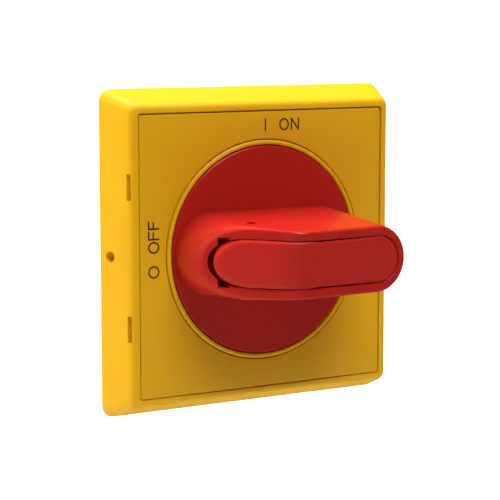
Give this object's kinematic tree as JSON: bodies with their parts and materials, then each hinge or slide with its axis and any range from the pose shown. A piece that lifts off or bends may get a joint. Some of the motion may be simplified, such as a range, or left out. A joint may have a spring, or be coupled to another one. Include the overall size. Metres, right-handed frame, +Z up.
{
  "type": "door-mounted rotary isolator handle",
  "caption": "Square cover with a round disc and a bar grip that turns a switch shaft; the grip holds a lifting padlock latch.",
  "frame": {"origin": "on the rotary axis, in the plane of the door (the rear face of the mounting base)", "axes": "+Z up, the front faces -Y, +Y runs along the shaft into the panel, +X to the right as seen from the front"},
  "size_m": [0.065, 0.0514, 0.065],
  "materials": {
    "cover": "moulded, semi-matt yellow",
    "label": "flat semi-matt yellow plate",
    "base": "dark grey moulding",
    "seal": "black sealing rubber",
    "zinc_steel": "zinc-plated steel",
    "spring_steel": "spring steel",
    "handle": "moulded, semi-matt red",
    "latch": "moulded, semi-matt red",
    "die_cast": "die-cast zinc, as cast",
    "brass": "turned brass",
    "washer": "white low-friction plastic"
  },
  "bodies": {
    "housing": {"cover_frame": "cover", "label_plate": "label", "mounting_base": "base", "door_gasket": "seal", "disc_seal": "seal", "shaft_seal": "seal", "index_ring": "zinc_steel", "index_screws": "zinc_steel", "cover_screws": "zinc_steel"},
    "handle": {"knob": "handle", "drive_hub": "die_cast", "hub_screw": "zinc_steel", "catch_plug": "brass", "catch_spring": "spring_steel", "circlip": "spring_steel", "thrust_washer": "washer", "spring_washer": "spring_steel", "bolt_spring": "spring_steel", "bolt_bush": "brass"},
    "latch": {"padlock_latch": "latch"},
    "bolt": {"lock_bolt": "zinc_steel"},
    "catch": {"interlock_catch": "zinc_steel"}
  },
  "joints": [
    {"name": "handle_turn", "type": "hinge", "parent": "housing", "child": "handle", "pos_m": [0, 0, 0], "axis": [0, 1, 0], "range_deg": [0, 90]},
    {"name": "latch_swing", "type": "hinge", "parent": "handle", "child": "latch", "pos_m": [0.0075, -0.0295, 0], "axis": [0, 0, 1], "range_deg": [0, 36]},
    {"name": "bolt_slide", "type": "slide", "parent": "handle", "child": "bolt", "axis": [0, 1, 0], "range_m": [0, 0.00375], "stiffness_N_per_m": 150, "deforming": ["bolt_spring"]},
    {"name": "catch_slide", "type": "slide", "parent": "handle", "child": "catch", "axis": [1, 0, 0], "range_m": [0, 0.0012], "stiffness_N_per_m": 500, "deforming": ["catch_spring"]}
  ],
  "couplings": [
    {"joint": "latch_swing", "follows": "bolt_slide", "rad_per_m": 167.55}
  ]
}
